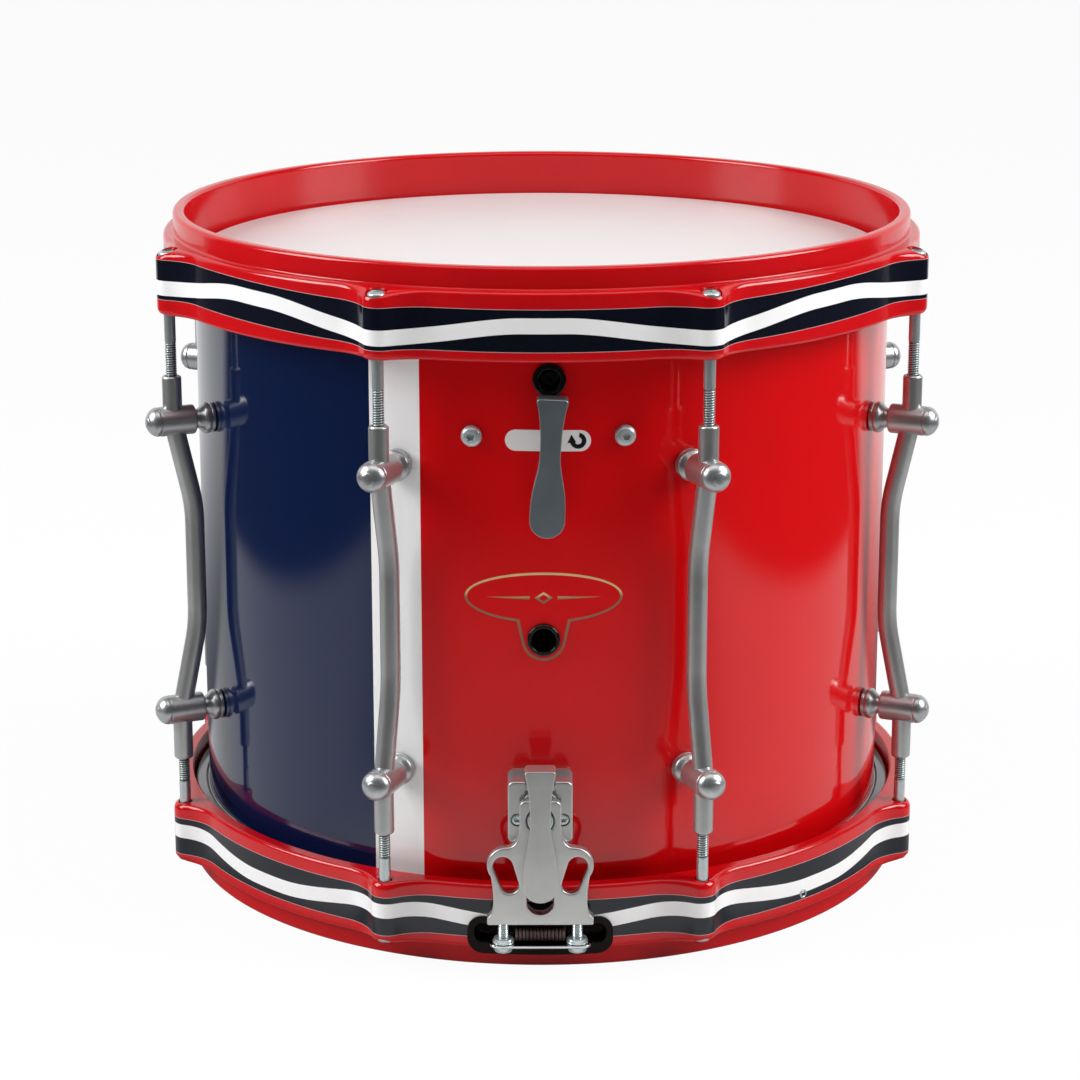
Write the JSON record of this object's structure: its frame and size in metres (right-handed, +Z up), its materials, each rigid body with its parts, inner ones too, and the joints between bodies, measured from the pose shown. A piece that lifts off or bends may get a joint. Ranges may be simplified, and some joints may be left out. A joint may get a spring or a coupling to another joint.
{
  "type": "marching snare drum",
  "caption": "Marching snare drum: a lacquered shell between cast hoops, drawn together by rods in bent tube posts, with lever-worked snares under each head.",
  "frame": {"origin": "on the drum's axis, in the plane that the lower hoop's collar stands on", "axes": "+Z up along the drum's axis, towards the batter head; the front, with the levers, faces -Y; +X is to the right seen from the front"},
  "size_m": [0.3924, 0.4131, 0.339],
  "materials": {
    "red_lacquer": "high-gloss coloured lacquer over plywood",
    "red_enamel": "gloss red enamel over cast aluminium",
    "head_film": "coated white film",
    "bare_aluminium": "plain",
    "grey_post": "satin grey coating",
    "zinc": "bright zinc plate",
    "satin_casting": "satin, bead blasted",
    "black_plastic": "smooth moulded",
    "snare_cord": "ribbed strap and strands"
  },
  "bodies": {
    "drum": {"shell": "red_lacquer", "batter_head": "head_film", "batter_flesh_hoop": "bare_aluminium", "batter_hoop": "red_enamel", "snare_head": "head_film", "snare_flesh_hoop": "bare_aluminium", "snare_hoop": "red_enamel", "lug_1": "grey_post", "lug_2": "grey_post", "lug_3": "grey_post", "lug_4": "grey_post", "lug_5": "grey_post", "lug_6": "grey_post", "lug_7": "grey_post", "lug_8": "grey_post", "vent_grommet": "black_plastic", "key_bush": "black_plastic", "upper_frame": "bare_aluminium", "frame_screw_left": "zinc", "frame_screw_right": "zinc", "frame_screw_rear": "zinc", "strainer_body": "satin_casting", "strainer_pivot_pin": "zinc", "strainer_screw_left": "zinc", "strainer_screw_right": "zinc", "butt_bracket": "satin_casting", "butt_clamp_plate": "zinc", "front_gate_liner": "black_plastic", "rear_gate_liner": "black_plastic", "lower_snares": "snare_cord"},
    "batter_rod_1": {"batter_rod_1": "zinc"},
    "batter_rod_2": {"batter_rod_2": "zinc"},
    "batter_rod_3": {"batter_rod_3": "zinc"},
    "batter_rod_4": {"batter_rod_4": "zinc"},
    "batter_rod_5": {"batter_rod_5": "zinc"},
    "batter_rod_6": {"batter_rod_6": "zinc"},
    "batter_rod_7": {"batter_rod_7": "zinc"},
    "batter_rod_8": {"batter_rod_8": "zinc"},
    "snare_rod_1": {"snare_rod_1": "zinc"},
    "snare_rod_2": {"snare_rod_2": "zinc"},
    "snare_rod_3": {"snare_rod_3": "zinc"},
    "snare_rod_4": {"snare_rod_4": "zinc"},
    "snare_rod_5": {"snare_rod_5": "zinc"},
    "snare_rod_6": {"snare_rod_6": "zinc"},
    "snare_rod_7": {"snare_rod_7": "zinc"},
    "snare_rod_8": {"snare_rod_8": "zinc"},
    "upper_throw": {"upper_lever": "satin_casting", "upper_lever_shaft": "zinc"},
    "upper_bridge": {"upper_bridge": "bare_aluminium", "upper_snares": "snare_cord"},
    "upper_key_screw": {"upper_key_screw": "zinc"},
    "strainer_lever": {"strainer_lever": "satin_casting"},
    "strainer_carriage": {"strainer_carriage": "satin_casting", "strainer_slide_block": "satin_casting", "strainer_centre_screw": "zinc", "snare_clamp_plate": "zinc"},
    "snare_adjuster_left": {"snare_adjuster_left": "zinc"},
    "snare_adjuster_right": {"snare_adjuster_right": "zinc"},
    "butt_adjuster_left": {"butt_adjuster_left": "zinc"},
    "butt_adjuster_right": {"butt_adjuster_right": "zinc"}
  },
  "joints": [
    {"name": "batter_rod_1_turn", "type": "hinge", "parent": "drum", "child": "batter_rod_1", "pos_m": [0.07558, -0.18247, 0.29], "axis": [0, 0, 1], "continuous": true},
    {"name": "batter_rod_2_turn", "type": "hinge", "parent": "drum", "child": "batter_rod_2", "pos_m": [0.18247, -0.07558, 0.29], "axis": [0, 0, 1], "continuous": true},
    {"name": "batter_rod_3_turn", "type": "hinge", "parent": "drum", "child": "batter_rod_3", "pos_m": [0.18247, 0.07558, 0.29], "axis": [0, 0, 1], "continuous": true},
    {"name": "batter_rod_4_turn", "type": "hinge", "parent": "drum", "child": "batter_rod_4", "pos_m": [0.07558, 0.18247, 0.29], "axis": [0, 0, 1], "continuous": true},
    {"name": "batter_rod_5_turn", "type": "hinge", "parent": "drum", "child": "batter_rod_5", "pos_m": [-0.07558, 0.18247, 0.29], "axis": [0, 0, 1], "continuous": true},
    {"name": "batter_rod_6_turn", "type": "hinge", "parent": "drum", "child": "batter_rod_6", "pos_m": [-0.18247, 0.07558, 0.29], "axis": [0, 0, 1], "continuous": true},
    {"name": "batter_rod_7_turn", "type": "hinge", "parent": "drum", "child": "batter_rod_7", "pos_m": [-0.18247, -0.07558, 0.29], "axis": [0, 0, 1], "continuous": true},
    {"name": "batter_rod_8_turn", "type": "hinge", "parent": "drum", "child": "batter_rod_8", "pos_m": [-0.07558, -0.18247, 0.29], "axis": [0, 0, 1], "continuous": true},
    {"name": "snare_rod_1_turn", "type": "hinge", "parent": "drum", "child": "snare_rod_1", "pos_m": [0.07558, -0.18247, 0.05], "axis": [0, 0, 1], "continuous": true},
    {"name": "snare_rod_2_turn", "type": "hinge", "parent": "drum", "child": "snare_rod_2", "pos_m": [0.18247, -0.07558, 0.05], "axis": [0, 0, 1], "continuous": true},
    {"name": "snare_rod_3_turn", "type": "hinge", "parent": "drum", "child": "snare_rod_3", "pos_m": [0.18247, 0.07558, 0.05], "axis": [0, 0, 1], "continuous": true},
    {"name": "snare_rod_4_turn", "type": "hinge", "parent": "drum", "child": "snare_rod_4", "pos_m": [0.07558, 0.18247, 0.05], "axis": [0, 0, 1], "continuous": true},
    {"name": "snare_rod_5_turn", "type": "hinge", "parent": "drum", "child": "snare_rod_5", "pos_m": [-0.07558, 0.18247, 0.05], "axis": [0, 0, 1], "continuous": true},
    {"name": "snare_rod_6_turn", "type": "hinge", "parent": "drum", "child": "snare_rod_6", "pos_m": [-0.18247, 0.07558, 0.05], "axis": [0, 0, 1], "continuous": true},
    {"name": "snare_rod_7_turn", "type": "hinge", "parent": "drum", "child": "snare_rod_7", "pos_m": [-0.18247, -0.07558, 0.05], "axis": [0, 0, 1], "continuous": true},
    {"name": "snare_rod_8_turn", "type": "hinge", "parent": "drum", "child": "snare_rod_8", "pos_m": [-0.07558, -0.18247, 0.05], "axis": [0, 0, 1], "continuous": true},
    {"name": "upper_lever_turn", "type": "hinge", "parent": "drum", "child": "upper_throw", "pos_m": [0.0038, -0.185, 0.2718], "axis": [0, -1, 0], "range_deg": [0, 90]},
    {"name": "upper_snare_drop", "type": "slide", "parent": "drum", "child": "upper_bridge", "axis": [0, 0, -1], "range_m": [0, 0.003]},
    {"name": "upper_key_turn", "type": "hinge", "parent": "drum", "child": "upper_key_screw", "pos_m": [0.0026, -0.17, 0.2854], "axis": [0, -1, 0], "continuous": true},
    {"name": "strainer_lever_turn", "type": "hinge", "parent": "drum", "child": "strainer_lever", "pos_m": [-0.0017, -0.195, 0.0935], "axis": [-1, 0, 0], "range_deg": [0, 100]},
    {"name": "carriage_drop", "type": "slide", "parent": "drum", "child": "strainer_carriage", "axis": [0, 0, -1], "range_m": [0, 0.007]},
    {"name": "snare_adjuster_left_turn", "type": "hinge", "parent": "strainer_carriage", "child": "snare_adjuster_left", "pos_m": [-0.01915, -0.2009, 0.025], "axis": [0, 0, 1], "continuous": true},
    {"name": "snare_adjuster_right_turn", "type": "hinge", "parent": "strainer_carriage", "child": "snare_adjuster_right", "pos_m": [0.01575, -0.2009, 0.025], "axis": [0, 0, 1], "continuous": true},
    {"name": "butt_adjuster_left_turn", "type": "hinge", "parent": "drum", "child": "butt_adjuster_left", "pos_m": [0.01575, 0.2009, 0.025], "axis": [0, 0, 1], "continuous": true},
    {"name": "butt_adjuster_right_turn", "type": "hinge", "parent": "drum", "child": "butt_adjuster_right", "pos_m": [-0.01915, 0.2009, 0.025], "axis": [0, 0, 1], "continuous": true}
  ],
  "couplings": [
    {"joint": "upper_lever_turn", "follows": "upper_snare_drop", "rad_per_m": 523.5},
    {"joint": "strainer_lever_turn", "follows": "carriage_drop", "rad_per_m": 249.3}
  ]
}
